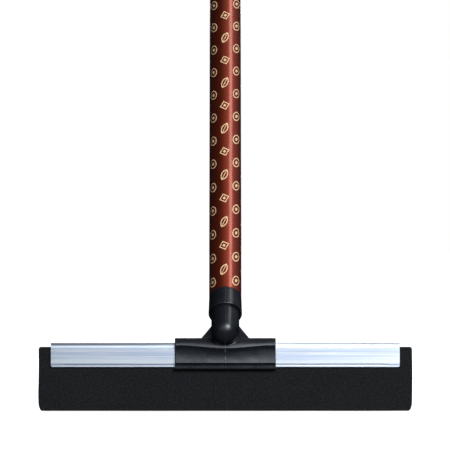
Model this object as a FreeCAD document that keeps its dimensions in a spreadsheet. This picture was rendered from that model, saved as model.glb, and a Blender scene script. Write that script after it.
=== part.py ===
import FreeCAD, Part
import math
import os

import Sketcher
from FreeCAD import Placement, Rotation, Vector

# A 300 mm squeegee head on a long threaded handle.
# Frame: X runs along the blade, Z is up, -Y is the front.  The origin is the
# middle of the blade's bottom edge, midway between the two foam strips.
# The handle axis lies in the YZ plane and leans back towards +Y.

doc = FreeCAD.newDocument("FloorSqueegee")
sheet = doc.addObject("Spreadsheet::Sheet", "Sizes")

SIZES = [
    # foam strips
    ("blade_length", 300.0, "foam strip, length along X"),
    ("blade_height", 51.4, "foam strip, total height"),
    ("blade_thick", 4.0, "one foam strip, thickness"),
    ("blade_gap", 1.4, "gap between the two strips"),
    ("blade_corner", 3.6, "bottom corner radius of a strip"),
    ("blade_top_cut", 0.9, "top corner chamfer of a strip"),
    # spacer between the strips, inside the channel
    ("spacer_thick", 1.3, "spacer strip thickness"),
    ("spacer_low", 38.6, "spacer strip, lower edge"),
    ("spacer_high", 52.6, "spacer strip, upper edge"),
    ("spacer_length", 278.0, "spacer strip length"),
    # channel
    ("channel_length", 280.0, "channel length"),
    ("channel_low", 35.4, "channel lower edge"),
    ("channel_high", 54.6, "channel top"),
    ("channel_half", 6.0, "channel outer half width"),
    ("channel_wall", 0.9, "channel sheet thickness"),
    ("channel_round", 4.0, "channel outer corner radius"),
    ("crimp_height", 37.2, "centre height of the crimp line"),
    ("crimp_depth", 0.38, "how far the crimp is pressed in"),
    ("crimp_half", 0.75, "half width of the crimp line"),
    ("crimp_length", 261.0, "length of the crimp line"),
    ("channel_corner", 1.3, "rounding of the channel's lower end corners"),
    # saddle moulding
    ("saddle_half", 40.5, "saddle half length along X"),
    ("saddle_low", 33.4, "underside of the hook lips"),
    ("saddle_high", 58.5, "flat top of the saddle"),
    ("lip_half", 8.0, "half width over the hook lips"),
    ("lip_top", 35.5, "top of the hook lip's outer face"),
    ("neck_half", 7.4, "half width in the undercut"),
    ("neck_top", 37.4, "top of the undercut"),
    ("ridge_low", 38.7, "lower ridge of the side panel"),
    ("ridge_high", 52.7, "upper ridge of the side panel"),
    ("ridge_half", 9.2, "half width over the ridges"),
    ("panel_sag", 0.35, "how far the side panel is hollowed"),
    ("panel_lean", 1.3, "how far the side panel leans in below the upper ridge"),
    ("panel_turn", 3.4, "depth below the upper ridge where the side panel turns out to it"),
    ("swell_out", 1.3, "extra half width of the saddle at its middle"),
    ("swell_down", 2.2, "drop of the upper ridge at the middle"),
    ("shoulder_in", 5.0, "inset of the flat top from the ridge"),
    ("slot_half", 6.08, "half width of the slot for the channel"),
    ("slot_top", 54.68, "top of the slot for the channel"),
    ("hook_half", 4.95, "half width between the hook tips"),
    ("hook_top", 35.32, "upper face of the hooks"),
    # socket
    ("lean", 45.0, "lean of the handle back from upright, degrees"),
    ("socket_y", -8.5, "centre of the socket's closed round end, Y"),
    ("socket_z", 64.6, "centre of the socket's closed round end, Z"),
    ("tube_radius", 11.25, "socket tube outer radius"),
    ("collar_start", 18.2, "collar lower end, measured from the round end's centre"),
    ("collar_end", 35.1, "socket mouth, measured from the round end's centre"),
    ("collar_radius_low", 13.5, "collar radius at its lower end"),
    ("collar_radius_high", 13.1, "collar radius at the mouth"),
    ("gusset_half", 19.2, "half width of the side gussets at the saddle"),
    ("gusset_high", 67.9, "height where the gussets meet the tube"),
    ("gusset_thick", 2.4, "gusset thickness"),
    ("gusset_mid", -1.6, "middle plane of the gussets, Y"),
    ("rib_thick", 3.0, "rear rib thickness"),
    ("seam_out", 0.26, "height of the mould's parting line on the saddle"),
    ("seam_out_tube", 0.12, "height of the mould's parting line on the socket"),
    ("seam_wide", 0.6, "width of the mould's parting line"),
    # thread
    ("thread_lead", 5.0, "thread lead"),
    ("male_root", 8.0, "ferrule thread root radius"),
    ("male_crest", 9.2, "ferrule thread crest radius"),
    ("male_root_half", 1.1, "half width of the ferrule thread at its root"),
    ("male_crest_half", 0.5, "half width of the ferrule thread at its crest"),
    ("thread_play", 0.3, "axial play of each thread flank"),
    ("female_crest", 8.35, "socket thread crest radius"),
    ("female_root", 9.5, "socket thread root radius"),
    ("bore_bottom", 7.0, "floor of the socket bore"),
    ("groove_bottom", 10.0, "lower end of the socket thread"),
    # ferrule
    ("nose_start", 9.6, "ferrule nose tip"),
    ("thread_start", 15.1, "lower end of the ferrule thread"),
    ("thread_turns", 3.2, "turns of ferrule thread"),
    ("flange_start", 35.3, "underside of the ferrule flange"),
    ("flange_end", 36.8, "upper side of the ferrule flange"),
    ("flange_radius", 12.9, "ferrule flange radius"),
    ("plug_radius", 12.05, "plug that sits inside the handle tube"),
    ("plug_end", 62.0, "upper end of the plug"),
    ("ferrule_bore", 5.6, "hollow through the ferrule"),
    # handle
    ("handle_start", 36.9, "lower end of the handle tube"),
    ("handle_length", 1140.0, "length of the handle tube"),
    ("core_outer", 12.6, "handle tube outer radius"),
    ("core_inner", 12.1, "handle tube inner radius"),
    ("film_inner", 12.65, "printed film inner radius"),
    ("film_outer", 13.05, "printed film outer radius"),
    # hanging cap
    ("cap_flange", 2.0, "cap flange thickness"),
    ("cap_plug", 20.0, "cap plug length inside the tube"),
    ("cap_neck", 10.0, "length of the domed shoulder"),
    ("tongue_half", 9.5, "half width of the cap's tongue"),
    ("tongue_thick", 6.0, "thickness of the cap's tongue"),
    ("eye_radius", 4.5, "radius of the hanging eye"),
    ("eye_up", 17.6, "eye centre above the cap flange"),
    # screws
    ("screw_x", 29.0, "screw position each side of the middle"),
    ("screw_z", 46.0, "screw height"),
    ("screw_hole", 1.6, "hole radius for the screws"),
    ("screw_shank", 1.45, "screw shank radius"),
    ("screw_head", 3.3, "screw head radius"),
    ("screw_seat", 8.75, "Y of the seat under the screw head"),
    ("screw_tip", 4.95, "Y of the screw tip"),
    ("boss_radius", 4.4, "radius of the flat seat round a screw"),
]

VALUE = {}
for row, (alias, value, note) in enumerate(SIZES, start=1):
    sheet.set("A%d" % row, alias)
    sheet.set("B%d" % row, str(value))
    sheet.setAlias("B%d" % row, alias)
    sheet.set("C%d" % row, note)
    VALUE[alias] = value
doc.recompute()


class Dim:
    """A number together with the sheet expression that gives it."""

    def __init__(self, value, text):
        self.value, self.text = float(value), text

    def _with(self, other, sign, value):
        return Dim(value, "(%s %s %s)" % (self.text, sign, other.text))

    def __add__(self, other):
        other = dim(other)
        return self._with(other, "+", self.value + other.value)

    def __radd__(self, other):
        return dim(other) + self

    def __sub__(self, other):
        other = dim(other)
        return self._with(other, "-", self.value - other.value)

    def __rsub__(self, other):
        return dim(other) - self

    def __mul__(self, other):
        other = dim(other)
        return self._with(other, "*", self.value * other.value)

    def __rmul__(self, other):
        return dim(other) * self

    def __truediv__(self, other):
        other = dim(other)
        return self._with(other, "/", self.value / other.value)

    def __neg__(self):
        return Dim(-self.value, "(0 - %s)" % self.text)


def dim(x):
    return x if isinstance(x, Dim) else Dim(x, "%.9g" % x if x >= 0 else "(0 - %.9g)" % -x)


def size(alias):
    return Dim(VALUE[alias], "Sizes." + alias)


def new_body(name):
    body = doc.addObject("PartDesign::Body", name)
    body.Label = name
    return body


def new_sketch(body, name, role, offset=None):
    sketch = body.newObject("Sketcher::SketchObject", name)
    plane = [f for f in body.Origin.OriginFeatures if f.Role == role][0]
    sketch.AttachmentSupport = [(plane, "")]
    sketch.MapMode = "FlatFace"
    if offset is not None:
        sketch.setExpression("AttachmentOffset.Base.z", dim(offset).text)
    return sketch


def fix_point(sketch, geo, pos, x, y):
    """Tie one point of a sketch to sheet-driven coordinates."""
    for kind, value, axis in (("DistanceX", dim(x), -2), ("DistanceY", dim(y), -1)):
        if abs(value.value) < 1e-9:
            sketch.addConstraint(Sketcher.Constraint("PointOnObject", geo, pos, axis))
        else:
            at = sketch.addConstraint(Sketcher.Constraint(kind, geo, pos, value.value))
            sketch.setExpression("Constraints[%d]" % at, value.text)


def outline(sketch, points, arcs=None):
    """A closed outline through the points; arcs maps a segment's index to (radius, side).

    side is +1 when the arc's centre is to the left of the segment's direction.
    """
    arcs = arcs or {}
    count, first = len(points), None
    for i in range(count):
        (x0, y0), (x1, y1) = points[i], points[(i + 1) % count]
        a = Vector(dim(x0).value, dim(y0).value, 0)
        b = Vector(dim(x1).value, dim(y1).value, 0)
        if i in arcs:
            radius, side = arcs[i]
            chord = b - a
            half = chord.Length / 2
            rise = math.sqrt(max(dim(radius).value ** 2 - half**2, 0.0))
            left = Vector(-chord.y, chord.x, 0).normalize()
            centre = (a + b) * 0.5 + left * (rise * side)
            away = (a + b) * 0.5 - centre
            if away.Length < 1e-9:
                away = left * -side
            mid = centre + away.normalize() * dim(radius).value
            curve = Part.Arc(a, mid, b)
            geo = sketch.addGeometry(curve, False)
            flipped = sketch.getPoint(geo, 1).distanceToPoint(a) > 1e-6
        else:
            geo = sketch.addGeometry(Part.LineSegment(a, b), False)
            flipped = False
        start, end = (2, 1) if flipped else (1, 2)
        fix_point(sketch, geo, start, x0, y0)
        if i in arcs:
            at = sketch.addConstraint(Sketcher.Constraint("Radius", geo, dim(arcs[i][0]).value))
            sketch.setExpression("Constraints[%d]" % at, dim(arcs[i][0]).text)
        if first is None:
            first = (geo, start)
        else:
            sketch.addConstraint(Sketcher.Constraint("Coincident", last[0], last[1], geo, start))
        last = (geo, end)
    sketch.addConstraint(Sketcher.Constraint("Coincident", last[0], last[1], first[0], first[1]))


def circle(sketch, x, y, radius):
    geo = sketch.addGeometry(
        Part.Circle(Vector(dim(x).value, dim(y).value, 0), Vector(0, 0, 1), dim(radius).value), False
    )
    fix_point(sketch, geo, 3, x, y)
    at = sketch.addConstraint(Sketcher.Constraint("Radius", geo, dim(radius).value))
    sketch.setExpression("Constraints[%d]" % at, dim(radius).text)


def pad(body, sketch, name, length, midplane=False, reverse=False):
    feature = body.newObject("PartDesign::Pad", name)
    feature.Profile = sketch
    feature.setExpression("Length", dim(length).text)
    feature.Midplane = midplane
    feature.Reversed = reverse
    body.Tip = feature
    return feature


def pocket(body, sketch, name, length, midplane=False, reverse=False):
    """A pocket of a stated depth, which must remove material."""
    doc.recompute()
    before = body.Shape.Volume
    feature = body.newObject("PartDesign::Pocket", name)
    feature.Profile = sketch
    feature.setExpression("Length", dim(length).text)
    feature.Midplane = midplane
    feature.Reversed = reverse
    body.Tip = feature
    doc.recompute()
    if body.Shape.Volume >= before - 1e-3:
        raise RuntimeError("%s removes nothing" % name)
    return feature


def revolve(body, sketch, name):
    """A full turn about the sketch's vertical axis."""
    feature = body.newObject("PartDesign::Revolution", name)
    feature.Profile = sketch
    feature.ReferenceAxis = (sketch, ["V_Axis"])
    feature.Angle = 360
    body.Tip = feature
    return feature


def groove(body, sketch, name):
    doc.recompute()
    before = body.Shape.Volume
    feature = body.newObject("PartDesign::Groove", name)
    feature.Profile = sketch
    feature.ReferenceAxis = (sketch, ["V_Axis"])
    feature.Angle = 360
    body.Tip = feature
    doc.recompute()
    if body.Shape.Volume >= before - 1e-3:
        raise RuntimeError("%s removes nothing" % name)
    return feature


def helix(body, sketch, name, pitch, height):
    """A right-hand thread swept round the sketch's vertical axis."""
    feature = body.newObject("PartDesign::AdditiveHelix", name)
    feature.Profile = sketch
    feature.ReferenceAxis = (sketch, ["V_Axis"])
    feature.Mode = 0
    feature.setExpression("Pitch", dim(pitch).text)
    feature.setExpression("Height", dim(height).text)
    feature.LeftHanded = False
    feature.Reversed = False
    body.Tip = feature
    return feature


def edges_where(shape, test):
    """Names of the edges whose ends and middle all pass the test."""
    names = []
    for i, edge in enumerate(shape.Edges, start=1):
        first, last = edge.ParameterRange
        points = [edge.valueAt(first + (last - first) * k / 4) for k in range(5)]
        if all(test(p) for p in points):
            names.append("Edge%d" % i)
    return names


def round_edges(body, name, radius, test):
    doc.recompute()
    base = body.Tip
    names = edges_where(base.Shape, test)
    if not names:
        raise RuntimeError("%s finds no edge" % name)
    feature = body.newObject("PartDesign::Fillet", name)
    feature.Base = (base, names)
    feature.setExpression("Radius", dim(radius).text)
    body.Tip = feature
    return feature


def bevel_edges(body, name, width, test):
    doc.recompute()
    base = body.Tip
    names = edges_where(base.Shape, test)
    if not names:
        raise RuntimeError("%s finds no edge" % name)
    feature = body.newObject("PartDesign::Chamfer", name)
    feature.Base = (base, names)
    feature.setExpression("Size", dim(width).text)
    body.Tip = feature
    return feature


def near(a, b, tolerance=0.02):
    return abs(a - b) < tolerance


def on_handle_axis(thing):
    """Stand a sub-part made along its own Z on the leaning handle axis."""
    thing.setExpression("Placement.Base.y", "Sizes.socket_y")
    thing.setExpression("Placement.Base.z", "Sizes.socket_z")
    thing.Placement = Placement(
        Vector(0, VALUE["socket_y"], VALUE["socket_z"]), Rotation(Vector(1, 0, 0), -VALUE["lean"])
    )
    thing.setExpression("Placement.Rotation.Angle", "Sizes.lean * 1 deg")
    thing.Placement = Placement(
        Vector(0, VALUE["socket_y"], VALUE["socket_z"]), Rotation(Vector(-1, 0, 0), VALUE["lean"])
    )


# ---------------------------------------------------------------- foam strips
def foam_strip(name, sign):
    """One foam strip, upright in the XZ plane; sign -1 is the front strip."""
    body = new_body(name)
    half, high = size("blade_length") / 2, size("blade_height")
    corner, cut = size("blade_corner"), size("blade_top_cut")
    sketch = new_sketch(body, name + "_outline", "XZ_Plane")
    outline(
        sketch,
        [
            (-half + corner, 0),
            (half - corner, 0),
            (half, corner),
            (half, high - cut),
            (half - cut, high),
            (-half + cut, high),
            (-half, high - cut),
            (-half, corner),
        ],
        {1: (corner, 1), 7: (corner, 1)},
    )
    pad(body, sketch, name + "_pad", size("blade_thick"))
    # the XZ plane's normal is -Y, so the pad grows towards the front
    inner, outer = size("blade_gap") / 2, size("blade_gap") / 2 + size("blade_thick")
    start = -inner if sign < 0 else outer
    body.setExpression("Placement.Base.y", start.text)
    return body


front_foam = foam_strip("front_foam_blade", -1)
rear_foam = foam_strip("rear_foam_blade", 1)

# ---------------------------------------------------------------- spacer strip
spacer = doc.addObject("Part::Box", "blade_spacer")
spacer.Label = "blade_spacer"
spacer.setExpression("Length", "Sizes.spacer_length")
spacer.setExpression("Width", "Sizes.spacer_thick")
spacer.setExpression("Height", "Sizes.spacer_high - Sizes.spacer_low")
spacer.setExpression("Placement.Base.x", "0 - Sizes.spacer_length / 2")
spacer.setExpression("Placement.Base.y", "0 - Sizes.spacer_thick / 2")
spacer.setExpression("Placement.Base.z", "Sizes.spacer_low")

# ---------------------------------------------------------------- channel
# In the YZ plane a sketch's own X is Y and its own Y is Z; the pad runs along X.
channel = new_body("blade_channel")
out, wall = size("channel_half"), size("channel_wall")
low, high, turn = size("channel_low"), size("channel_high"), size("channel_round")
inn = out - wall
section = new_sketch(channel, "channel_section", "YZ_Plane")
outline(
    section,
    [
        (out, low),
        (out, high - turn),
        (out - turn, high),
        (-out + turn, high),
        (-out, high - turn),
        (-out, low),
        (-inn, low),
        (-inn, high - turn),
        (-out + turn, high - wall),
        (out - turn, high - wall),
        (inn, high - turn),
        (inn, low),
    ],
    {1: (turn, 1), 3: (turn, 1), 7: (turn - wall, -1), 9: (turn - wall, -1)},
)
pad(channel, section, "channel_pad", size("channel_length"), midplane=True)
# the crimp: a shallow line pressed in from each side, standing out on the inside
crimp_z, depth, half = size("crimp_height"), size("crimp_depth"), size("crimp_half")
crimp_radius = (half * half + depth * depth) / (2 * depth)
for side, tag in ((1, "rear"), (-1, "front")):
    ridge = new_sketch(channel, "crimp_ridge_" + tag, "YZ_Plane")
    back = 0.3
    # the pressed-in bulge on the inner face
    outline(
        ridge,
        [
            (side * (inn + back), crimp_z - half),
            (side * inn, crimp_z - half),
            (side * inn, crimp_z + half),
            (side * (inn + back), crimp_z + half),
        ],
        {1: (crimp_radius, -side)},
    )
    pad(channel, ridge, "crimp_ridge_pad_" + tag, size("crimp_length"), midplane=True)
    line = new_sketch(channel, "crimp_line_" + tag, "YZ_Plane")
    outline(
        line,
        [
            (side * out, crimp_z - half),
            (side * out, crimp_z + half),
        ],
        {0: (crimp_radius, -side)},
    )
    pocket(channel, line, "crimp_line_cut_" + tag, size("crimp_length"), midplane=True)
ends = VALUE["channel_length"] / 2
round_edges(
    channel,
    "channel_corners",
    size("channel_corner"),
    lambda p: near(abs(p.x), ends) and near(p.z, VALUE["channel_low"]) and 5.0 < abs(p.y) < 6.1,
)
for x in (1, -1):
    holes = new_sketch(channel, "screw_hole_%s" % ("right" if x > 0 else "left"), "XZ_Plane")
    circle(holes, x * size("screw_x"), size("screw_z"), size("screw_hole"))
    # the XZ plane's normal is -Y, so a pocket from it cuts towards +Y
    pocket(channel, holes, "screw_hole_cut_%s" % ("right" if x > 0 else "left"), out + 1)

# ---------------------------------------------------------------- saddle body
saddle = new_body("saddle_block")


def saddle_section(body, name, x, swell, proud=0):
    """The saddle's outer section at one X; swell runs from 0 at the ends to 1 at the middle.

    proud moves the whole outline outwards, for the parting line.
    """
    sketch = new_sketch(body, name, "YZ_Plane", x)
    lip, lip_low, lip_top = size("lip_half") + proud, size("saddle_low"), size("lip_top")
    neck, neck_top = size("neck_half") + proud, size("neck_top")
    ridge_low, top = size("ridge_low"), size("saddle_high") + proud
    ridge_high = size("ridge_high") - swell * size("swell_down")
    low_out = size("ridge_half") + 0.25 * swell * size("swell_out") + proud
    high_out = size("ridge_half") + swell * size("swell_out") + proud
    flat = size("ridge_half") - size("shoulder_in") + proud
    # hollow side panel
    sag = size("panel_sag")
    dip_out = size("ridge_half") - size("panel_lean") + 0.6 * swell * size("swell_out") + proud
    dip_high = ridge_high - size("panel_turn")
    rise, run = dip_high - ridge_low, low_out - dip_out
    hollow = ((rise * rise + run * run) / 4 + sag * sag) / (2 * sag)
    rise, run = ridge_high - dip_high, high_out - dip_out
    flare = ((rise * rise + run * run) / 4 + sag * sag) / (2 * sag)
    # rounded shoulder from the upper ridge to the flat top
    dy, dz = high_out - flat, top - ridge_high
    shoulder = Dim(
        0.78 * math.hypot(dy.value, dz.value) / math.sqrt(0.5),
        "(0.78 * sqrt(%s * %s + %s * %s) / sqrt(0.5))" % (dy.text, dy.text, dz.text, dz.text),
    )
    right = [
        (lip - 0.7, lip_low),
        (lip, lip_low + 0.7),
        (lip, lip_top - 0.35),
        (neck, lip_top + 0.25),
        (neck, neck_top),
        (low_out - 0.45, ridge_low - 0.55),
        (low_out, ridge_low),
        (dip_out, dip_high),
        (high_out, ridge_high),
        (flat, top),
    ]
    left = [(-y, z) for y, z in reversed(right)]
    outline(
        sketch,
        right + left,
        {
            0: (dim(0.7), 1),
            6: (hollow, -1),
            7: (flare, -1),
            8: (shoulder, 1),
            10: (shoulder, 1),
            11: (flare, -1),
            12: (hollow, -1),
            18: (dim(0.7), 1),
        },
    )
    return sketch


STATIONS = [(1.0, 0.0), (0.7, 0.10), (0.36, 0.66), (0.0, 1.0), (-0.36, 0.66), (-0.7, 0.10), (-1.0, 0.0)]
sections = [
    saddle_section(saddle, "saddle_section_%d" % i, size("saddle_half") * at, swell)
    for i, (at, swell) in enumerate(STATIONS)
]
loft = saddle.newObject("PartDesign::AdditiveLoft", "saddle_loft")
loft.Profile = sections[0]
loft.Sections = sections[1:]
loft.Ruled = False
saddle.Tip = loft

saddle_end = VALUE["saddle_half"]
round_edges(saddle, "saddle_ends", 0.7, lambda p: near(abs(p.x), saddle_end) and p.z > VALUE["neck_top"] + 0.5)

# ---------------------------------------------------------------- gussets and rear rib
# Two thin triangles stand on the saddle beside the socket, and one rib backs it.
gussets = new_body("side_gussets")
plate = new_sketch(gussets, "gusset_outline", "XZ_Plane")
reach, peak, foot = size("gusset_half"), size("gusset_high"), size("saddle_high")
outline(
    plate,
    [
        (-reach - 1.2, foot - 1.5),
        (reach + 1.2, foot - 1.5),
        (reach, foot),
        (8.0, peak + 4.0),
        (-8.0, peak + 4.0),
        (-reach, foot),
    ],
)
pad(gussets, plate, "gusset_pad", size("gusset_thick"), midplane=True)
gussets.setExpression("Placement.Base.y", "Sizes.gusset_mid")

rib = new_body("rear_rib")
web = new_sketch(rib, "rib_outline", "YZ_Plane")
outline(web, [(-4, 56.5), (7.6, 55.6), (8.6, 56.6), (12.9, 68.6), (14.2, 71.8), (10, 80), (-4, 66)])
pad(rib, web, "rib_pad", size("rib_thick"), midplane=True)

# ---------------------------------------------------------------- socket, about its own Z
socket = new_body("socket_tube")
shell = new_sketch(socket, "socket_outline", "XZ_Plane")
tube, start, end = size("tube_radius"), size("collar_start"), size("collar_end")
wide, mouth = size("collar_radius_low"), size("collar_radius_high")
outline(
    shell,
    [
        (0, -tube),
        (tube, 0),
        (tube, start + 0.3),
        (wide - 0.8, start),
        (wide, start + 0.8),
        (mouth, end - 0.4),
        (mouth - 0.4, end),
        (0, end),
    ],
    {0: (tube, 1), 3: (dim(0.85), 1)},
)
revolve(socket, shell, "socket_turn")
on_handle_axis(socket)


# the socket flows into the saddle through a small blend
joined = doc.addObject("Part::Fuse", "saddle_and_socket")
joined.Base, joined.Tool = saddle, socket
doc.recompute()


def skin_distance(shape, point):
    return min(face.distToShape(Part.Vertex(point))[0] for face in shape.Faces)


meeting = []
for number, edge in enumerate(joined.Shape.Edges, start=1):
    first, last = edge.ParameterRange
    probes = [edge.valueAt(first + (last - first) * k) for k in (0.1, 0.5, 0.9)]
    if all(skin_distance(socket.Shape, p) < 1e-3 and skin_distance(saddle.Shape, p) < 1e-3 for p in probes):
        meeting.append((number, 0.8, 0.8))
blend = doc.addObject("Part::Fillet", "socket_blend")
blend.Base = joined
blend.Edges = meeting

# flat round seats for the two screws at the back of the saddle
seats = new_body("screw_seats")
seat_sketch = new_sketch(seats, "seat_circles", "XZ_Plane")
circle(seat_sketch, size("screw_x"), size("screw_z"), size("boss_radius"))
circle(seat_sketch, -size("screw_x"), size("screw_z"), size("boss_radius"))
pad(seats, seat_sketch, "seat_pad", size("screw_seat") - 6.6)
seats.setExpression("Placement.Base.y", "Sizes.screw_seat")

# the mould's parting line, a thin raised line round the middle plane
saddle_seam = new_body("saddle_seam")
seam_sketch = saddle_section(saddle_seam, "saddle_seam_section", 0, 1.0, size("seam_out"))
pad(saddle_seam, seam_sketch, "saddle_seam_pad", size("seam_wide"), midplane=True)
socket_seam = new_body("socket_seam")
proud_sketch = new_sketch(socket_seam, "socket_seam_outline", "YZ_Plane")
proud = size("seam_out_tube")
half_outline = [
    (tube + proud, 0),
    (tube + proud, start - proud),
    (wide - 0.8 + proud, start - proud),
    (wide + proud, start + 0.8),
    (mouth + proud, end - 0.5),
]
outline(
    proud_sketch,
    [(0, -tube - proud)] + half_outline + [(-y, z) for y, z in reversed(half_outline)],
    {0: (tube + proud, 1), 10: (tube + proud, 1)},
)
pad(socket_seam, proud_sketch, "socket_seam_pad", size("seam_wide"), midplane=True)
on_handle_axis(socket_seam)

blank = doc.addObject("Part::MultiFuse", "moulding_blank")
blank.Shapes = [blend, gussets, rib, seats, saddle_seam, socket_seam]

# ---------------------------------------------------------------- slot for the channel
# The slot is wide where it holds the channel and narrower between the hooks
# that close under the channel's lower edges.
slot = new_body("channel_slot")
slot_sketch = new_sketch(slot, "slot_section", "YZ_Plane")
wide_y, hook_y = size("slot_half"), size("hook_half")
slot_top, hook_z, under = size("slot_top"), size("hook_top"), size("saddle_low") - 1
bend = size("channel_round") - 0.1
outline(
    slot_sketch,
    [
        (hook_y, under),
        (hook_y, hook_z),
        (wide_y, hook_z),
        (wide_y, slot_top - bend),
        (wide_y - bend, slot_top),
        (-wide_y + bend, slot_top),
        (-wide_y, slot_top - bend),
        (-wide_y, hook_z),
        (-hook_y, hook_z),
        (-hook_y, under),
    ],
    {3: (bend, 1), 5: (bend, 1)},
)
pad(slot, slot_sketch, "slot_pad", size("saddle_half") * 2 + 10, midplane=True)

# holes for the two screws, through the rear wall
holes = new_body("saddle_screw_holes")
hole_sketch = new_sketch(holes, "hole_circles", "XZ_Plane")
circle(hole_sketch, size("screw_x"), size("screw_z"), size("screw_hole"))
circle(hole_sketch, -size("screw_x"), size("screw_z"), size("screw_hole"))
pad(holes, hole_sketch, "hole_pad", 8)
holes.setExpression("Placement.Base.y", "Sizes.screw_seat + 3")

# ---------------------------------------------------------------- threaded bore
bore = new_body("socket_bore")
bore_sketch = new_sketch(bore, "bore_outline", "XZ_Plane")
crest, root, floor = size("female_crest"), size("female_root"), size("bore_bottom")
outline(
    bore_sketch,
    [
        (0, floor),
        (crest - 2, floor),
        (crest, floor + 2),
        (crest, end - (root - crest) - 0.6),
        (root + 0.6, end),
        (root + 0.6, end + 6),
        (0, end + 6),
    ],
)
revolve(bore, bore_sketch, "bore_turn")
play = size("thread_play")
# the flanks run parallel to the ferrule's, opened by the play
slope = (size("male_root_half") - size("male_crest_half")) / (size("male_crest") - size("male_root"))
at_crest = size("male_root_half") - slope * (crest - size("male_root")) + play
at_root = size("male_root_half") - slope * (root - size("male_root")) + play
deep = dim(0.4)
at_deep = at_crest + slope * deep
lead = size("thread_lead")
middle = size("thread_start") + 1.1
bottom = middle - lead
groove_sketch = new_sketch(bore, "groove_profile", "XZ_Plane")
outline(
    groove_sketch,
    [
        (crest - deep, bottom - at_deep),
        (root, bottom - at_root),
        (root, bottom + at_root),
        (crest - deep, bottom + at_deep),
    ],
)
helix(bore, groove_sketch, "groove_thread", lead, lead * 5)
on_handle_axis(bore)

slotted = doc.addObject("Part::Cut", "moulding_slotted")
slotted.Base, slotted.Tool = blank, slot
drilled = doc.addObject("Part::Cut", "moulding_drilled")
drilled.Base, drilled.Tool = slotted, holes
moulding = doc.addObject("Part::Cut", "saddle_socket")
moulding.Label = "saddle_socket"
moulding.Base, moulding.Tool = drilled, bore

# ---------------------------------------------------------------- threaded ferrule
ferrule = new_body("handle_ferrule")
turned = new_sketch(ferrule, "ferrule_outline", "XZ_Plane")
hollow_r, nose, thread_root = size("ferrule_bore"), size("nose_start"), size("male_root")
under_flange, over_flange = size("flange_start"), size("flange_end")
outline(
    turned,
    [
        (hollow_r, nose),
        (thread_root - 1.2, nose),
        (thread_root, nose + 1.8),
        (thread_root, under_flange),
        (size("flange_radius"), under_flange),
        (size("flange_radius"), over_flange),
        (size("plug_radius"), over_flange),
        (size("plug_radius"), size("plug_end") - 1.5),
        (size("plug_radius") - 1, size("plug_end")),
        (hollow_r, size("plug_end")),
    ],
)
revolve(ferrule, turned, "ferrule_turn")
thread_sketch = new_sketch(ferrule, "thread_profile", "XZ_Plane")
low_half, top_half = size("male_root_half"), size("male_crest_half")
bite = dim(0.4)
bite_half = low_half + slope * bite
outline(
    thread_sketch,
    [
        (thread_root - bite, middle - bite_half),
        (size("male_crest"), middle - top_half),
        (size("male_crest"), middle + top_half),
        (thread_root - bite, middle + bite_half),
    ],
)
helix(ferrule, thread_sketch, "ferrule_thread", lead, lead * size("thread_turns"))
# the thread fades in and out on a cone at each end
fade_low = new_sketch(ferrule, "thread_lead_in", "XZ_Plane")
outline(
    fade_low,
    [
        (thread_root + 0.02, nose + 1.9),
        (thread_root + 2.4, nose + 1.9),
        (thread_root + 2.4, size("thread_start") + 3.2),
        (thread_root + 0.02, size("thread_start") + 0.2),
    ],
)
groove(ferrule, fade_low, "thread_lead_in_cut")
on_handle_axis(ferrule)

# ---------------------------------------------------------------- handle tube and printed film
def plain_tube(name, inner, outer):
    body = new_body(name)
    ring = new_sketch(body, name + "_wall", "XZ_Plane")
    bottom_z, top_z = size("handle_start"), size("handle_start") + size("handle_length")
    outline(ring, [(inner, bottom_z), (outer, bottom_z), (outer, top_z), (inner, top_z)])
    revolve(body, ring, name + "_turn")
    on_handle_axis(body)
    return body


core = plain_tube("handle_core_tube", size("core_inner"), size("core_outer"))
film = plain_tube("handle_sleeve", size("film_inner"), size("film_outer"))

# ---------------------------------------------------------------- hanging cap
cap = new_body("hanging_cap")
cap_base = size("handle_start") + size("handle_length") + 0.05
cap_sketch = new_sketch(cap, "cap_outline", "XZ_Plane")
shoulder_r, tongue_r = size("film_outer"), size("tongue_half")
neck_z = cap_base + size("cap_flange") + size("cap_neck")
outline(
    cap_sketch,
    [
        (0, cap_base - size("cap_plug")),
        (size("plug_radius") - 0.8, cap_base - size("cap_plug")),
        (size("plug_radius"), cap_base - size("cap_plug") + 1.5),
        (size("plug_radius"), cap_base),
        (shoulder_r, cap_base),
        (shoulder_r, cap_base + size("cap_flange")),
        (dim(5.0), neck_z),
        (0, neck_z),
    ],
    {5: (dim(14.0), 1)},
)
revolve(cap, cap_sketch, "cap_turn")
eye_z = cap_base + size("cap_flange") + size("eye_up")
tongue = new_sketch(cap, "tongue_outline", "YZ_Plane")
outline(
    tongue,
    [
        (-tongue_r, cap_base + 1.0),
        (tongue_r, cap_base + 1.0),
        (tongue_r, eye_z),
        (0, eye_z + tongue_r),
        (-tongue_r, eye_z),
    ],
    {2: (tongue_r, 1), 3: (tongue_r, 1)},
)
pad(cap, tongue, "tongue_pad", size("tongue_thick"), midplane=True)
eye = new_sketch(cap, "eye_circle", "YZ_Plane")
circle(eye, 0, eye_z, size("eye_radius"))
pocket(cap, eye, "eye_cut", 60, midplane=True)
on_handle_axis(cap)

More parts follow.
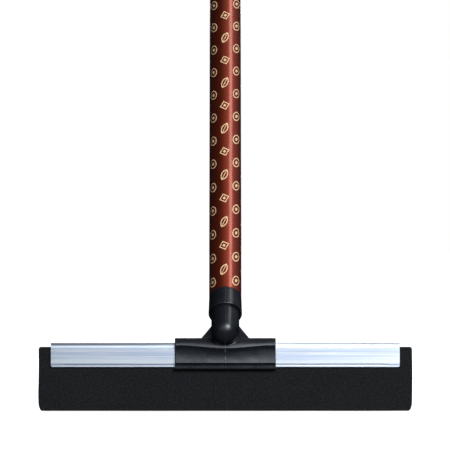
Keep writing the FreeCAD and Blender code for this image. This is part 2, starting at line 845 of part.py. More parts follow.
# ---------------------------------------------------------------- screws
screws = []
for x, tag in ((1, "right"), (-1, "left")):
    screw = new_body("screw_" + tag)
    turned = new_sketch(screw, "screw_outline_" + tag, "XZ_Plane")
    head_r, shank = size("screw_head"), size("screw_shank")
    length = size("screw_seat") - size("screw_tip")
    outline(
        turned,
        [
            (0, -length),
            (shank - 0.5, -length),
            (shank, -length + 0.6),
            (shank, 0.02),
            (head_r, 0.02),
            (head_r, 0.9),
            (head_r - 1.1, 2.1),
            (0, 2.1),
        ],
        {5: (dim(1.7), 1)},
    )
    revolve(screw, turned, "screw_turn_" + tag)
    cross = new_sketch(screw, "screw_cross_" + tag, "XY_Plane", 2.1)
    arm, slim = dim(1.9), dim(0.35)
    outline(
        cross,
        [
            (arm, -slim), (arm, slim), (slim, slim), (slim, arm), (-slim, arm), (-slim, slim),
            (-arm, slim), (-arm, -slim), (-slim, -slim), (-slim, -arm), (slim, -arm), (slim, -slim),
        ],
    )
    pocket(screw, cross, "screw_cross_cut_" + tag, 1.3)
    screw.Placement = Placement(Vector(0, 0, 0), Rotation(Vector(1, 0, 0), -90))
    screw.setExpression("Placement.Base.x", (x * size("screw_x")).text)
    screw.setExpression("Placement.Base.y", "Sizes.screw_seat")
    screw.setExpression("Placement.Base.z", "Sizes.screw_z")
    screws.append(screw)
screw_pair = doc.addObject("Part::Compound", "saddle_screws")
screw_pair.Label = "saddle_screws"
screw_pair.Links = screws

doc.recompute()

NODES = [moulding, channel, front_foam, rear_foam, spacer, screw_pair, core, film, ferrule, cap]

for thing in doc.Objects:
    if "Invalid" in thing.State or "Error" in thing.State:
        raise RuntimeError("%s is %s" % (thing.Name, thing.State))
for thing in NODES:
    shape = thing.Shape
    if shape.isNull() or not shape.isValid() or not shape.Solids or shape.Volume <= 0:
        raise RuntimeError("%s has a bad shape" % thing.Label)

os.makedirs("parts", exist_ok=True)
for thing in NODES:
    thing.Shape.exportStep("parts/%s.step" % thing.Label)
    box = thing.Shape.BoundBox
    print(
        "%-18s solids %d  volume %10.1f  X %7.2f %7.2f  Y %7.2f %7.2f  Z %7.2f %7.2f"
        % (
            thing.Label, len(thing.Shape.Solids), thing.Shape.Volume,
            box.XMin, box.XMax, box.YMin, box.YMax, box.ZMin, box.ZMax,
        )
    )
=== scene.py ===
import math

import bmesh
import bpy
import numpy as np
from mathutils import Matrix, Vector, noise


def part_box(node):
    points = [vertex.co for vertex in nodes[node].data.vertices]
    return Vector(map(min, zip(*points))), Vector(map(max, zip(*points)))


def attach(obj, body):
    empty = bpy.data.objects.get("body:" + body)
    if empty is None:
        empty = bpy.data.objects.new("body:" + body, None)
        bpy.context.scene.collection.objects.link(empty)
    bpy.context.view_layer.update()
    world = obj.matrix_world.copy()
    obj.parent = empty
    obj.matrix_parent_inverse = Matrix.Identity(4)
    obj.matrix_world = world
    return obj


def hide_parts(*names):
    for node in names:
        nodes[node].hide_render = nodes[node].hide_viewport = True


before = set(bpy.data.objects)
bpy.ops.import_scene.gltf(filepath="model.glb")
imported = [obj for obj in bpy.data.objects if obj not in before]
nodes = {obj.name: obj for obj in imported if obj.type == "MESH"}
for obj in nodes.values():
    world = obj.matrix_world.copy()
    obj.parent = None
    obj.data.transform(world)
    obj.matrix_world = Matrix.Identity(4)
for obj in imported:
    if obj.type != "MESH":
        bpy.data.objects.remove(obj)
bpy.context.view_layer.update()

scene = bpy.context.scene

MM = 0.001
C45 = math.sqrt(0.5)
# the handle's axis: a point on it, its direction, and the side that faces the camera
AXIS_AT = (0.0, -8.5 * MM, 64.6 * MM)
AXIS = (0.0, C45, C45)
FACE = (0.0, -C45, C45)
HANDLE_R = 13.05


# ------------------------------------------------------------------ node helpers
class Graph:
    """A material's node tree, built with short calls."""

    def __init__(self, name):
        self.mat = bpy.data.materials.new(name)
        self.mat.use_nodes = True
        self.tree = self.mat.node_tree
        self.tree.nodes.clear()
        self.out = self.tree.nodes.new("ShaderNodeOutputMaterial")
        self.bsdf = self.tree.nodes.new("ShaderNodeBsdfPrincipled")
        self.tree.links.new(self.bsdf.outputs[0], self.out.inputs[0])
        self.coords = self.tree.nodes.new("ShaderNodeTexCoord").outputs["Object"]

    def put(self, socket, value):
        if isinstance(value, bpy.types.NodeSocket):
            self.tree.links.new(value, socket)
        elif isinstance(value, (tuple, list)):
            value = tuple(value)
            if socket.type == "RGBA" and len(value) == 3:
                value += (1.0,)
            socket.default_value = value
        else:
            socket.default_value = value

    def math(self, kind, a, b=None, c=None, clamp=False):
        n = self.tree.nodes.new("ShaderNodeMath")
        n.operation, n.use_clamp = kind, clamp
        for socket, value in zip(n.inputs, (a, b, c)):
            if value is not None:
                self.put(socket, value)
        return n.outputs[0]

    def vec(self, kind, a, b=None, scale=None):
        n = self.tree.nodes.new("ShaderNodeVectorMath")
        n.operation = kind
        self.put(n.inputs[0], a)
        if b is not None:
            self.put(n.inputs[1], b)
        if scale is not None:
            self.put(n.inputs["Scale"], scale)
        return n.outputs["Value" if kind in ("DOT_PRODUCT", "LENGTH", "DISTANCE") else "Vector"]

    def xyz(self, vector):
        n = self.tree.nodes.new("ShaderNodeSeparateXYZ")
        self.put(n.inputs[0], vector)
        return n.outputs[0], n.outputs[1], n.outputs[2]

    def join(self, x, y, z=0.0):
        n = self.tree.nodes.new("ShaderNodeCombineXYZ")
        for socket, value in zip(n.inputs, (x, y, z)):
            self.put(socket, value)
        return n.outputs[0]

    def noise(self, vector, scale, detail=2.0, rough=0.5, distortion=0.0):
        n = self.tree.nodes.new("ShaderNodeTexNoise")
        n.noise_dimensions = "3D"
        self.put(n.inputs["Vector"], vector)
        for name, value in (("Scale", scale), ("Detail", detail), ("Roughness", rough), ("Distortion", distortion)):
            n.inputs[name].default_value = value
        return n.outputs[0]

    def cells(self, vector, scale, feature="F1", smooth=0.0):
        n = self.tree.nodes.new("ShaderNodeTexVoronoi")
        n.voronoi_dimensions, n.feature = "3D", feature
        self.put(n.inputs["Vector"], vector)
        n.inputs["Scale"].default_value = scale
        if feature == "SMOOTH_F1":
            n.inputs["Smoothness"].default_value = smooth
        return n.outputs["Distance"]

    def remap(self, value, low, high, to_low=0.0, to_high=1.0, smooth=False):
        n = self.tree.nodes.new("ShaderNodeMapRange")
        n.clamp = True
        n.interpolation_type = "SMOOTHSTEP" if smooth else "LINEAR"
        for socket, v in zip(n.inputs, (value, low, high, to_low, to_high)):
            self.put(socket, v)
        return n.outputs[0]

    def mix(self, factor, a, b, kind="MIX"):
        n = self.tree.nodes.new("ShaderNodeMix")
        n.data_type, n.blend_type = "RGBA", kind
        self.put(n.inputs[0], factor)
        self.put(n.inputs[6], a)
        self.put(n.inputs[7], b)
        return n.outputs[2]

    def bump(self, height, distance, strength=1.0, normal=None):
        n = self.tree.nodes.new("ShaderNodeBump")
        n.inputs["Strength"].default_value = strength
        n.inputs["Distance"].default_value = distance
        self.put(n.inputs["Height"], height)
        if normal is not None:
            self.put(n.inputs["Normal"], normal)
        return n.outputs[0]

    def rounded(self, radius, samples=6):
        """The surface normal with its sharp edges rounded off."""
        n = self.tree.nodes.new("ShaderNodeBevel")
        n.samples = samples
        n.inputs["Radius"].default_value = radius
        return n.outputs[0]

    def edge_mask(self, rounded):
        """1 near an edge and 0 on a flat, from how far the rounded normal turns."""
        geometry = self.tree.nodes.new("ShaderNodeNewGeometry")
        along = self.vec("DOT_PRODUCT", rounded, geometry.outputs["Normal"])
        return self.remap(along, 0.995, 0.85, 0.0, 1.0, smooth=True)

    def set(self, **values):
        for key, value in values.items():
            self.put(self.bsdf.inputs[key.replace("_", " ")], value)
        return self.mat


# ------------------------------------------------------------------ moulded black plastic
def moulded_black(name, seed, parting=False, base=(0.0052, 0.0056, 0.0074), light=(0.0092, 0.0098, 0.0130), rough=0.29, edge=0.00035):
    g = Graph(name)
    at = g.vec("ADD", g.coords, (seed * 0.37, seed * 0.11, -seed * 0.23))
    mottle = g.noise(at, 70.0, 3.0, 0.55)
    fine = g.noise(at, 2400.0, 2.0, 0.6)
    flow = g.noise(g.vec("MULTIPLY", at, (60.0, 60.0, 18.0)), 1.0, 4.0, 0.6, 0.6)
    smooth = g.rounded(edge)
    edges = g.edge_mask(smooth)
    rubbed = g.math("MULTIPLY", edges, g.remap(g.noise(at, 420.0, 3.0, 0.65), 0.42, 0.66), clamp=True)
    dust = g.remap(g.noise(at, 900.0, 1.0, 0.5), 0.70, 0.76)
    colour = g.mix(g.remap(mottle, 0.3, 0.7), base, light)
    colour = g.mix(g.math("MULTIPLY", rubbed, 0.55), colour, (0.060, 0.062, 0.068))
    colour = g.mix(g.math("MULTIPLY", dust, 0.18), colour, (0.12, 0.12, 0.12))
    if parting:
        # painted highlight down the parting seam on the saddle's front, partly a lighter flash seam and partly the
        # glint of its ridge
        px, py, pz = g.xyz(g.coords)
        wavy = g.math("ADD", px, g.remap(g.noise(at, 190.0, 2.0, 0.5), 0.3, 0.7, -0.00018, 0.00018))
        parting_highlight = g.remap(g.math("ABSOLUTE", wavy), 0.00026, 0.00052, 1.0, 0.0, smooth=True)
        faint = g.remap(g.noise(at, 300.0, 2.0, 0.6), 0.40, 0.54, 0.0, 1.0)
        parting_highlight = g.math("MULTIPLY", g.math("MULTIPLY", parting_highlight, faint), g.math("MULTIPLY", g.remap(pz, 0.0545, 0.0575, 1.0, 0.03), g.remap(pz, 0.0365, 0.0385, 0.15, 1.0)))
        colour = g.mix(g.math("MULTIPLY", parting_highlight, 0.75), colour, (0.22, 0.225, 0.24))
    roughness = g.math("ADD", g.remap(flow, 0.25, 0.75, rough - 0.07, rough + 0.08), g.math("MULTIPLY", rubbed, 0.12))
    roughness = g.math("ADD", roughness, g.math("MULTIPLY", dust, 0.15), clamp=True)
    sink = g.noise(at, 36.0, 2.0, 0.5)
    normal = g.bump(sink, 0.0016, 0.50, smooth)
    normal = g.bump(mottle, 0.00025, 0.35, normal)
    normal = g.bump(flow, 0.00006, 0.35, normal)
    normal = g.bump(fine, 0.00002, 0.45, normal)
    return g.set(Base_Color=colour, Roughness=roughness, Normal=normal, IOR=1.5, Specular_IOR_Level=0.5)


# ------------------------------------------------------------------ extruded aluminium
def extruded_aluminium(name):
    g = Graph(name)
    # lines run along X: stretch the pattern hard along it
    lines = g.noise(g.vec("MULTIPLY", g.coords, (9.0, 900.0, 900.0)), 1.0, 3.0, 0.6)
    fine = g.noise(g.vec("MULTIPLY", g.coords, (30.0, 4200.0, 4200.0)), 1.0, 2.0, 0.6)
    broad = g.noise(g.vec("MULTIPLY", g.coords, (3.0, 260.0, 260.0)), 1.0, 2.0, 0.5)
    haze = g.noise(g.coords, 22.0, 4.0, 0.55, 0.4)
    smooth = g.rounded(0.00025)
    edges = g.edge_mask(smooth)
    scratch = g.noise(g.vec("MULTIPLY", g.coords, (160.0, 900.0, 2600.0)), 1.0, 1.0, 0.5)
    scratch = g.remap(scratch, 0.735, 0.76)
    colour = g.mix(g.remap(lines, 0.38, 0.62), (0.78, 0.83, 0.93), (1.0, 1.0, 1.0))
    colour = g.mix(g.remap(broad, 0.38, 0.62, 0.0, 0.45), colour, (0.72, 0.78, 0.90))
    _, _, height = g.xyz(g.coords)
    # painted reflection: a darker bluish band across the middle of the front face, about 40 to 50 mm up
    painted_dark_band = g.math("MULTIPLY", g.remap(height, 0.0395, 0.0425, smooth=True), g.remap(height, 0.0480, 0.0510, 1.0, 0.0, smooth=True))
    colour = g.mix(g.math("MULTIPLY", painted_dark_band, g.remap(lines, 0.42, 0.58, 0.60, 0.10)), colour, (0.62, 0.69, 0.84))
    # painted highlight: a pale band low on the front face, about 38 to 42 mm up
    painted_highlight_band = g.math("MULTIPLY", g.remap(height, 0.0384, 0.0392, smooth=True), g.remap(height, 0.0402, 0.0420, 1.0, 0.0, smooth=True))
    colour = g.mix(g.math("MULTIPLY", painted_highlight_band, 0.6), colour, (1.0, 1.0, 1.0))
    colour = g.mix(g.math("MULTIPLY", edges, 0.35), colour, (0.95, 0.96, 0.98))
    # painted shade along the crimp at the foot of the front face, darkening the groove
    px, py, pz = g.xyz(g.coords)
    crimp_shade = g.remap(g.math("ABSOLUTE", g.math("SUBTRACT", pz, 0.03735)), 0.00035, 0.00085, 1.0, 0.0, smooth=True)
    crimp_shade = g.math("MULTIPLY", crimp_shade, g.remap(haze, 0.30, 0.60, 0.75, 1.0))
    colour = g.mix(g.math("MULTIPLY", crimp_shade, 0.62), colour, (0.20, 0.22, 0.26))
    roughness = g.remap(lines, 0.2, 0.8, 0.40, 0.50)
    roughness = g.math("ADD", roughness, g.remap(haze, 0.35, 0.75, -0.03, 0.07))
    roughness = g.math("SUBTRACT", roughness, g.math("MULTIPLY", scratch, 0.10), clamp=True)
    normal = g.bump(broad, 0.00010, 0.35, smooth)
    normal = g.bump(lines, 0.00003, 0.55, normal)
    normal = g.bump(fine, 0.000012, 0.5, normal)
    normal = g.bump(scratch, 0.00001, 0.6, normal)
    return g.set(
        Base_Color=colour, Metallic=1.0, Roughness=roughness, Normal=normal,
        Anisotropic=0.75, Anisotropic_Rotation=0.25,
    )


# ------------------------------------------------------------------ closed-cell foam
def foam_black(name, seed):
    g = Graph(name)
    at = g.vec("ADD", g.coords, (seed * 0.21, seed * 0.05, seed * 0.31))
    cell = g.cells(at, 1500.0)
    small = g.cells(at, 3600.0)
    mottle = g.noise(at, 240.0, 4.0, 0.65)
    broad = g.noise(at, 26.0, 3.0, 0.55, 0.3)
    skive = g.noise(g.vec("MULTIPLY", at, (40.0, 40.0, 420.0)), 1.0, 3.0, 0.6)
    smooth = g.rounded(0.0003, 4)
    edges = g.edge_mask(smooth)
    colour = g.mix(g.remap(mottle, 0.32, 0.70), (0.0064, 0.0063, 0.0067), (0.0114, 0.0112, 0.0117))
    colour = g.mix(g.remap(broad, 0.35, 0.75, 0.0, 0.45), colour, (0.0150, 0.0148, 0.0154))
    colour = g.mix(g.remap(cell, 0.30, 0.62, 0.0, 0.35), colour, (0.0052, 0.0052, 0.0056))
    grain = g.noise(at, 620.0, 2.0, 0.7)
    colour = g.mix(g.remap(grain, 0.50, 0.66, 0.0, 0.55), colour, (0.0210, 0.0205, 0.0212))
    colour = g.mix(g.remap(grain, 0.50, 0.36, 0.0, 0.60), colour, (0.0030, 0.0030, 0.0032))
    lint = g.remap(g.noise(at, 1300.0, 0.0, 0.5), 0.80, 0.84)
    colour = g.mix(g.math("MULTIPLY", lint, 0.20), colour, (0.10, 0.10, 0.10))
    colour = g.mix(g.math("MULTIPLY", edges, 0.30), colour, (0.030, 0.030, 0.031))
    roughness = g.remap(mottle, 0.2, 0.8, 0.74, 0.90)
    normal = g.bump(broad, 0.0004, 0.30, smooth)
    normal = g.bump(skive, 0.00012, 0.30, normal)
    normal = g.bump(mottle, 0.00020, 0.40, normal)
    normal = g.bump(grain, 0.00016, 0.50, normal)
    normal = g.bump(cell, 0.00010, 0.55, normal)
    normal = g.bump(small, 0.00004, 0.40, normal)
    return g.set(
        Base_Color=colour, Roughness=roughness, Normal=normal, IOR=1.45, Specular_IOR_Level=0.2,
        Sheen_Weight=0.035, Sheen_Roughness=0.6, Sheen_Tint=(0.75, 0.75, 0.8),
    )


# ------------------------------------------------------------------ printed handle film
def printed_film(name):
    g = Graph(name)
    place = g.vec("SUBTRACT", g.coords, AXIS_AT)
    place = g.vec("SCALE", place, scale=1000.0)
    side, _, _ = g.xyz(place)
    face = g.vec("DOT_PRODUCT", place, FACE)
    up = g.vec("DOT_PRODUCT", place, AXIS)
    angle = g.math("ARCTAN2", side, face)
    across = g.math("MULTIPLY", angle, HANDLE_R)  # mm round the handle, 0 at the front

    # the print runs in columns, every other one shifted by half a row; the columns wander
    # slightly round the handle, and the rows bow down on both sides of the front
    column_pitch, row_pitch, first_column, first_row, skew, wander, bow = PRINT
    turned_by = g.math("MINIMUM", g.math("ABSOLUTE", angle), math.radians(80))
    over = g.math("MAXIMUM", g.math("SUBTRACT", turned_by, math.radians(45)), 0.0)
    turned_by = g.math("SUBTRACT", turned_by, g.math("DIVIDE", g.math("MULTIPLY", over, over), math.radians(70)))
    dip = g.math("MULTIPLY", g.math("SUBTRACT", 1.0, g.math("COSINE", turned_by)), bow * HANDLE_R)
    shifted = g.math("SUBTRACT", g.math("SUBTRACT", g.math("SUBTRACT", up, first_row), dip), g.math("MULTIPLY", across, skew))
    placed = g.math("SUBTRACT", g.math("SUBTRACT", across, first_column), g.math("MULTIPLY", g.math("SUBTRACT", up, 200.0), wander))
    column = g.math("ROUND", g.math("DIVIDE", placed, column_pitch))
    u = g.math("SUBTRACT", placed, g.math("MULTIPLY", column, column_pitch))
    even = g.math("SUBTRACT", 1.0, g.math("PINGPONG", column, 1.0))  # 1 on the middle column and every second one
    shifted = g.math("SUBTRACT", shifted, g.math("MULTIPLY", even, row_pitch / 2))
    row = g.math("ROUND", g.math("DIVIDE", shifted, row_pitch))
    v = g.math("SUBTRACT", shifted, g.math("MULTIPLY", row, row_pitch))
    v = g.math("MULTIPLY", v, C45)  # the motifs are drawn out along the handle
    turn = g.math("PINGPONG", g.math("ADD", g.math("ADD", row, 1.0), g.math("MULTIPLY", column, 0.5)), 1.0)  # alternates lozenge and leaf

    def ink(value, half_width, soft=0.10):
        """1 where |value| is under half_width."""
        return g.remap(g.math("ABSOLUTE", value), half_width - soft, half_width + soft, 1.0, 0.0, smooth=True)

    def inside(value, soft=0.10):
        return g.remap(value, -soft, soft, 1.0, 0.0, smooth=True)

    radius = g.math("SQRT", g.math("ADD", g.math("MULTIPLY", u, u), g.math("MULTIPLY", v, v)))
    ring = g.math("MAXIMUM", ink(g.math("SUBTRACT", radius, 3.42), 0.42), inside(g.math("SUBTRACT", radius, 1.35)))

    # lozenge, a little turned, with a small solid lozenge inside
    def turned(a, b, degrees):
        c, s = math.cos(math.radians(degrees)), math.sin(math.radians(degrees))
        return (
            g.math("ADD", g.math("MULTIPLY", a, c), g.math("MULTIPLY", b, s)),
            g.math("SUBTRACT", g.math("MULTIPLY", b, c), g.math("MULTIPLY", a, s)),
        )

    lu, lv = turned(u, v, 16.0)
    taxi = g.math("ADD", g.math("ABSOLUTE", lu), g.math("MULTIPLY", g.math("ABSOLUTE", lv), 1.12))
    lozenge = g.math("MAXIMUM", ink(g.math("SUBTRACT", taxi, 3.75), 0.56, 0.14), inside(g.math("SUBTRACT", taxi, 1.45), 0.14))

    # leaf: a pointed oval with a midrib
    fu, fv = turned(u, v, -28.0)
    half_long, half_wide = 4.4, 2.35
    big = (half_long**2 + half_wide**2) / (2 * half_wide)
    off = big - half_wide
    fv2 = g.math("MULTIPLY", fv, fv)

    def reach(shift):
        d = g.math("ADD", fu, shift)
        return g.math("SQRT", g.math("ADD", g.math("MULTIPLY", d, d), fv2))

    oval = g.math("SUBTRACT", g.math("MAXIMUM", reach(off), reach(-off)), big)
    rib = g.math("MULTIPLY", ink(fu, 0.30), inside(oval))
    leaf = g.math("MAXIMUM", ink(oval, 0.42), rib)

    middle = g.math("ADD", g.math("MULTIPLY", lozenge, g.math("SUBTRACT", 1.0, turn)), g.math("MULTIPLY", leaf, turn))
    motif = g.math("ADD", g.math("MULTIPLY", middle, even), g.math("MULTIPLY", ring, g.math("SUBTRACT", 1.0, even)), clamp=True)
    mist = g.noise(g.coords, 1500.0, 2.0, 0.6)
    motif = g.math("MULTIPLY", motif, g.remap(mist, 0.25, 0.5, 0.80, 1.0))

    # film colour, with the slight streaks of a drawn film and the lapped seam at the back
    flat = g.join(g.math("MULTIPLY", across, 1.0), g.math("MULTIPLY", up, 0.035), 0.0)
    streak = g.noise(flat, 1.6, 3.0, 0.6)
    cloud = g.noise(g.coords, 26.0, 3.0, 0.55)
    colour = g.mix(g.remap(streak, 0.3, 0.7), FILM_DARK, FILM_LIGHT)
    colour = g.mix(g.remap(cloud, 0.35, 0.75, 0.0, 0.35), colour, tuple(0.75 * c for c in FILM_DARK))
    colour = g.mix(motif, colour, INK)
    seam = g.math("SUBTRACT", math.pi * HANDLE_R - 1.1, g.math("ABSOLUTE", across))
    lap = ink(seam, 0.22, 0.12)
    colour = g.mix(g.math("MULTIPLY", lap, 0.7), colour, (0.012, 0.006, 0.004))

    scuff = g.noise(g.vec("MULTIPLY", g.coords, (900.0, 70.0, 70.0)), 1.0, 2.0, 0.6)
    scuff = g.remap(scuff, 0.70, 0.78)
    peel = g.noise(g.coords, 420.0, 2.0, 0.5)
    roughness = g.remap(cloud, 0.25, 0.75, FILM_ROUGH - 0.04, FILM_ROUGH + 0.05)
    roughness = g.math("ADD", roughness, g.math("MULTIPLY", scuff, 0.12))
    roughness = g.math("ADD", roughness, g.math("MULTIPLY", motif, 0.05), clamp=True)
    lifted = g.remap(seam, -0.25, 0.25, 1.0, 0.0, smooth=True)
    normal = g.bump(lifted, 0.00015, 0.8)
    normal = g.bump(peel, 0.00004, 0.35, normal)
    normal = g.bump(streak, 0.00005, 0.30, normal)
    normal = g.bump(motif, 0.00001, 0.5, normal)
    metal = g.math("SUBTRACT", 1.0, motif)
    return g.set(
        Base_Color=colour, Roughness=roughness, Metallic=metal, Normal=normal, IOR=1.5, Specular_IOR_Level=0.5,
        Coat_Weight=1.0, Coat_Roughness=0.20, Coat_IOR=1.7, Specular_Tint=(1.0, 0.42, 0.32),
    )


# ------------------------------------------------------------------ hidden and small pieces
def zinc_steel(name):
    g = Graph(name)
    spin = g.noise(g.vec("MULTIPLY", g.coords, (2600.0, 300.0, 2600.0)), 1.0, 3.0, 0.6)
    patch = g.noise(g.coords, 900.0, 3.0, 0.6)
    smooth = g.rounded(0.00012)
    colour = g.mix(g.remap(patch, 0.3, 0.7), (0.56, 0.57, 0.58), (0.70, 0.69, 0.64))
    roughness = g.remap(patch, 0.2, 0.8, 0.24, 0.42)
    normal = g.bump(spin, 0.00001, 0.5, smooth)
    return g.set(Base_Color=colour, Metallic=1.0, Roughness=roughness, Normal=normal)


def tube_steel(name):
    g = Graph(name)
    drawn = g.noise(g.vec("MULTIPLY", g.coords, (1600.0, 60.0, 60.0)), 1.0, 3.0, 0.6)
    spots = g.noise(g.coords, 300.0, 4.0, 0.65)
    colour = g.mix(g.remap(drawn, 0.3, 0.7), (0.30, 0.30, 0.31), (0.42, 0.42, 0.43))
    colour = g.mix(g.remap(spots, 0.62, 0.75, 0.0, 0.5), colour, (0.20, 0.12, 0.07))
    roughness = g.remap(drawn, 0.2, 0.8, 0.30, 0.50)
    return g.set(Base_Color=colour, Metallic=1.0, Roughness=roughness, Normal=g.bump(drawn, 0.00002, 0.5))


def strip_plastic(name):
    g = Graph(name)
    saw = g.noise(g.vec("MULTIPLY", g.coords, (40.0, 1500.0, 1500.0)), 1.0, 3.0, 0.6)
    colour = g.mix(g.remap(saw, 0.3, 0.7), (0.035, 0.036, 0.038), (0.060, 0.060, 0.062))
    return g.set(Base_Color=colour, Roughness=g.remap(saw, 0.2, 0.8, 0.45, 0.62), Normal=g.bump(saw, 0.00003, 0.5))


# ------------------------------------------------------------------ the foam strips' own meshes
def foam_strip(name, node, y_out, y_in, seed, material):
    """A die-cut foam strip, pinched by the channel and slightly swollen and wavy below it.

    y_out is the face away from the other strip and y_in the face towards it, in mm.
    """
    low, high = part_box(node)
    x_half, z_low, z_high = high.x / MM, low.z / MM, high.z / MM
    corner, cut, soft = 3.0, 1.6, 0.55
    corner_rise = 6.6  # the bottom corners are cut taller than they are wide
    outward = -1.0 if y_out < y_in else 1.0

    # stations along X: even, then closing up into the rounded ends
    inner = x_half - corner
    xs = list(np.linspace(-inner, inner, 201))
    tail = [inner + corner * f for f in (0.18, 0.36, 0.52, 0.66, 0.77, 0.86, 0.92, 0.965, 0.99, 1.0)]
    xs = [-x for x in reversed(tail)] + xs + tail
    # heights, 0 at the bottom and 1 at the top; closer together at both edges
    body = np.linspace(0.03, 0.97, 46)
    rim = np.array([0.0, 0.0035, 0.008, 0.0135, 0.021])
    ts = np.concatenate([rim, body, 1 - rim[::-1]])

    def bottom(x):
        over = max(abs(x) - inner, 0.0) / corner
        return z_low + corner_rise * (1 - math.sqrt(max(1 - over**2, 0.0)))

    def top(x):
        over = max(abs(x) - (x_half - cut), 0.0) / cut
        return z_high - 2.0 * (1 - math.sqrt(max(1 - over**2, 0.0)))

    def rounding(distance):
        """How far a face draws in at this distance from the strip's edge."""
        if distance >= soft:
            return 0.0
        return soft - math.sqrt(max(soft**2 - (soft - distance) ** 2, 0.0))

    mesh = bmesh.new()
    loops = []
    for x in xs:
        lo, hi = bottom(x), top(x)
        end = x_half - abs(x)
        outer, back = [], []
        for t in ts:
            z = lo + (hi - lo) * t
            edge = min(z - lo, hi - z, end)
            draw = rounding(max(edge, 0.0))
            # swelling just under the channel, and a slow wave that fades out inside it
            free = min(max((35.5 - z) / 8.0, 0.0), 1.0) if abs(x) < 141 else 0.55 + 0.45 * min(max((35.5 - z) / 8.0, 0.0), 1.0)
            bulge = 0.16 * math.exp(-(((z - 30.0) / 5.0) ** 2))
            wave = 0.16 * free * (
                noise.noise(Vector((x * 0.012 + seed, z * 0.02, seed * 1.7)))
                + 0.5 * noise.noise(Vector((x * 0.05, z * 0.07 + seed, seed)))
            )
            dimple = 0.035 * free * noise.noise(Vector((x * 0.22, seed * 3.1, z * 0.25)))
            # the ends were cut by hand: they wander by a few tenths of a millimetre
            away = (abs(x) / x_half) ** 24
            side = 1.0 if x > 0 else -1.0
            wander = 0.30 * math.sin((z - 4.0) / 46.0 * math.pi) - 0.10 if side > 0 else 0.34 * math.exp(-(((z - 14.0) / 9.0) ** 2)) - 0.14
            xx = x + side * away * wander
            zz = max(z + 0.07 * free * (1 - t) * noise.noise(Vector((x * 0.03, 9.0 + seed, 0.0))), z_low)
            y_o = y_out + outward * (bulge + dimple) - outward * draw + wave
            y_i = y_in + outward * draw * 0.9 + wave
            outer.append(mesh.verts.new((xx * MM, y_o * MM, zz * MM)))
            back.append(mesh.verts.new((xx * MM, y_i * MM, zz * MM)))
        loops.append((outer, back))
    count = len(ts)
    for (o0, b0), (o1, b1) in zip(loops, loops[1:]):
        for i in range(count - 1):
            mesh.faces.new((o0[i], o1[i], o1[i + 1], o0[i + 1]))
            mesh.faces.new((b0[i], b0[i + 1], b1[i + 1], b1[i]))
        mesh.faces.new((o0[0], b0[0], b1[0], o1[0]))
        mesh.faces.new((o0[-1], o1[-1], b1[-1], b0[-1]))
    for o, b in (loops[0], loops[-1]):
        for i in range(count - 1):
            mesh.faces.new((o[i], o[i + 1], b[i + 1], b[i]))
    bmesh.ops.recalc_face_normals(mesh, faces=mesh.faces)
    data = bpy.data.meshes.new(name)
    mesh.to_mesh(data)
    mesh.free()
    for polygon in data.polygons:
        polygon.use_smooth = True
    piece = bpy.data.objects.new(name, data)
    scene.collection.objects.link(piece)
    data.materials.append(material)
    divide = piece.modifiers.new("subdivide", "SUBSURF")
    divide.levels = divide.render_levels = 1
    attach(piece, "head")
    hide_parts(node)
    return piece


# ------------------------------------------------------------------ assign
# column pitch, row pitch, first column, first row (all mm) and the slope of the rows
# how far the columns wander per mm, and how far the rows bow
PRINT = (10.8, 27.2, -0.6, 42.8, 0.09, 0.0037, 0.9)
FILM_DARK, FILM_LIGHT, INK, FILM_ROUGH = (0.42, 0.052, 0.014), (0.52, 0.066, 0.018), (0.95, 0.62, 0.34), 0.46

black = moulded_black("moulded_black", 1.0, parting=True)
ferrule_black = moulded_black("ferrule_black", 4.0, rough=0.40, edge=0.0002)
cap_black = moulded_black("cap_black", 7.0, rough=0.37)
finish = {
    "saddle_socket": black,
    "blade_channel": extruded_aluminium("extruded_aluminium"),
    "blade_spacer": strip_plastic("strip_plastic"),
    "saddle_screws": zinc_steel("zinc_steel"),
    "handle_core_tube": tube_steel("tube_steel"),
    "handle_sleeve": printed_film("printed_film"),
    "handle_ferrule": ferrule_black,
    "hanging_cap": cap_black,
}
for node, material in finish.items():
    data = nodes[node].data
    if not data.materials:
        data.materials.append(material)
    for i in range(len(data.materials)):
        data.materials[i] = material

foam_front = foam_strip("foam_front", "front_foam_blade", -4.7, -0.7, 1.3, foam_black("foam_black_front", 1.0))
foam_rear = foam_strip("foam_rear", "rear_foam_blade", 4.7, 0.7, 6.1, foam_black("foam_black_rear", 5.0))

# ------------------------------------------------------------------ camera
# Level, straight in front; the picture is 361.2 mm wide at the blade's front face.
DISTANCE, WIDE = 5.28, 0.3612
camera_data = bpy.data.cameras.new("camera")
camera_data.sensor_width = 36.0
camera_data.lens = 36.0 * DISTANCE / WIDE
camera_data.clip_start, camera_data.clip_end = 0.05, 100.0
camera = bpy.data.objects.new("camera", camera_data)
camera.location = (-0.00022, -DISTANCE - 0.0047, 0.1493)
camera.rotation_euler = (math.radians(90), 0.0, 0.0)
scene.collection.objects.link(camera)
scene.camera = camera

# ------------------------------------------------------------------ studio
scene.view_settings.view_transform = "Standard"
scene.view_settings.look = "None"
scene.view_settings.exposure = 0.0
scene.view_settings.gamma = 1.0


def softbox(name, at, aim, width, height, watts, colour=(1, 1, 1), spread=180.0, roll=0.0):
    data = bpy.data.lights.new(name, "AREA")
    data.shape, data.size, data.size_y = "RECTANGLE", width, height
    data.energy, data.color = watts, colour
    data.spread = math.radians(spread)
    light = bpy.data.objects.new(name, data)
    light.location = at
    direction = Vector(aim) - Vector(at)
    light.rotation_euler = direction.to_track_quat("-Z", "Y").to_euler()
    if roll:
        light.rotation_euler.rotate_axis("Z", math.radians(roll))
    light.visible_camera = False
    scene.collection.objects.link(light)
    return light


def radiance(value, width, height):
    """The power, in watts, of a panel of this size that shines with this radiance."""
    return value * math.pi * width * height


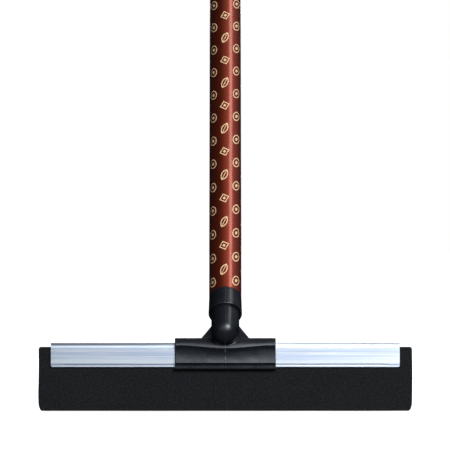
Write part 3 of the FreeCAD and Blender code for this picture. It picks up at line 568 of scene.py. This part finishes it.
aim = (0.0, 0.0, 0.06)
LIGHTS = [
    # name, place, aim, width, height, radiance, colour
    ("overhead_right", (0.90, 0.42, 1.98), (0.0, 0.20, 0.30), 2.60, 0.46, 2.3, (1.0, 0.99, 0.98)),
    ("front_key", (0.62, -1.05, 0.98), (0.05, 0.0, 0.06), 0.46, 0.54, 21.0, (0.87, 0.93, 1.0)),
    ("front_bank", (0.34, -1.27, 0.82), (0.04, 0.0, 0.06), 0.80, 0.70, 4.4, (0.86, 0.93, 1.0)),
    ("back_bank", (0.0, 2.35, 0.85), (0.0, 0.1, 0.2), 0.90, 0.90, 3.2, (0.97, 0.98, 1.0)),
]
for name, at, target, width, height, level, colour in LIGHTS:
    softbox(name, at, target, width, height, radiance(level, width, height), colour)

world = bpy.data.worlds.new("studio")
scene.world = world
world.use_nodes = True
wt = world.node_tree
wt.nodes.clear()
w_out = wt.nodes.new("ShaderNodeOutputWorld")
w_mix = wt.nodes.new("ShaderNodeMixShader")
w_path = wt.nodes.new("ShaderNodeLightPath")
w_seen = wt.nodes.new("ShaderNodeBackground")
w_seen.inputs[0].default_value, w_seen.inputs[1].default_value = (1, 1, 1, 1), 1.0
w_room = wt.nodes.new("ShaderNodeBackground")
w_geo = wt.nodes.new("ShaderNodeTexCoord")
w_split = wt.nodes.new("ShaderNodeSeparateXYZ")
wt.links.new(w_geo.outputs["Generated"], w_split.inputs[0])


def w_math(kind, a, b, clamp=False):
    n = wt.nodes.new("ShaderNodeMath")
    n.operation, n.use_clamp = kind, clamp
    for socket, value in zip(n.inputs, (a, b)):
        if isinstance(value, bpy.types.NodeSocket):
            wt.links.new(value, socket)
        else:
            socket.default_value = value
    return n.outputs[0]


def w_ramp(value, low, high, a, b):
    n = wt.nodes.new("ShaderNodeMapRange")
    n.interpolation_type = "SMOOTHSTEP"
    for socket, v in zip(n.inputs, (value, low, high, a, b)):
        if isinstance(v, bpy.types.NodeSocket):
            wt.links.new(v, socket)
        else:
            socket.default_value = v
    return n.outputs[0]


wx, wy, wz = w_split.outputs
# a dim room: a cool wall in front, a grey ceiling running back, and a dark left side
front = w_math("MULTIPLY", w_ramp(wy, -0.35, -0.95, 0.0, 1.0), w_ramp(wz, -0.01, 0.17, 0.05, 0.74))
above = w_math("MULTIPLY", w_ramp(wz, 0.10, 0.60, 0.0, 0.15), w_ramp(wx, -0.36, 0.04, 0.02, 1.0))
below = w_ramp(wz, -0.25, 0.02, 0.10, 1.0)
floor_glow = w_ramp(wz, -0.12, -0.40, 0.0, 0.115)  # what the pale floor would show in the object
strength = w_math("ADD", w_math("MULTIPLY", w_math("ADD", w_math("ADD", front, above), 0.014), below), floor_glow)
w_room.inputs[0].default_value = (0.78, 0.88, 1.0, 1)
wt.links.new(strength, w_room.inputs[1])
wt.links.new(w_path.outputs["Is Camera Ray"], w_mix.inputs[0])
wt.links.new(w_room.outputs[0], w_mix.inputs[1])
wt.links.new(w_seen.outputs[0], w_mix.inputs[2])
wt.links.new(w_mix.outputs[0], w_out.inputs[0])

# a pale floor that keeps a faint shadow
floor_mesh = bmesh.new()
bmesh.ops.create_grid(floor_mesh, x_segments=1, y_segments=1, size=30.0)
floor_data = bpy.data.meshes.new("floor")
floor_mesh.to_mesh(floor_data)
floor_mesh.free()
floor = bpy.data.objects.new("floor", floor_data)
floor.location = (0, 0, -0.0012)
scene.collection.objects.link(floor)
fg = Graph("pale_floor")
fg.tree.nodes.remove(fg.bsdf)
glow = fg.tree.nodes.new("ShaderNodeEmission")
glow.inputs[0].default_value = (1, 1, 1, 1)
fg.put(glow.inputs[1], fg.remap(fg.vec("LENGTH", fg.coords), 0.25, 0.90, 0.82, 1.02, smooth=True))
paper = fg.tree.nodes.new("ShaderNodeBsdfDiffuse")
paper.inputs[0].default_value = (0.85, 0.85, 0.85, 1)
both = fg.tree.nodes.new("ShaderNodeAddShader")
fg.tree.links.new(glow.outputs[0], both.inputs[0])
fg.tree.links.new(paper.outputs[0], both.inputs[1])
fg.tree.links.new(both.outputs[0], fg.out.inputs[0])
floor_data.materials.append(fg.mat)
floor.visible_glossy = False
floor.visible_diffuse = False

# ------------------------------------------------------------------ update
bpy.context.view_layer.update()
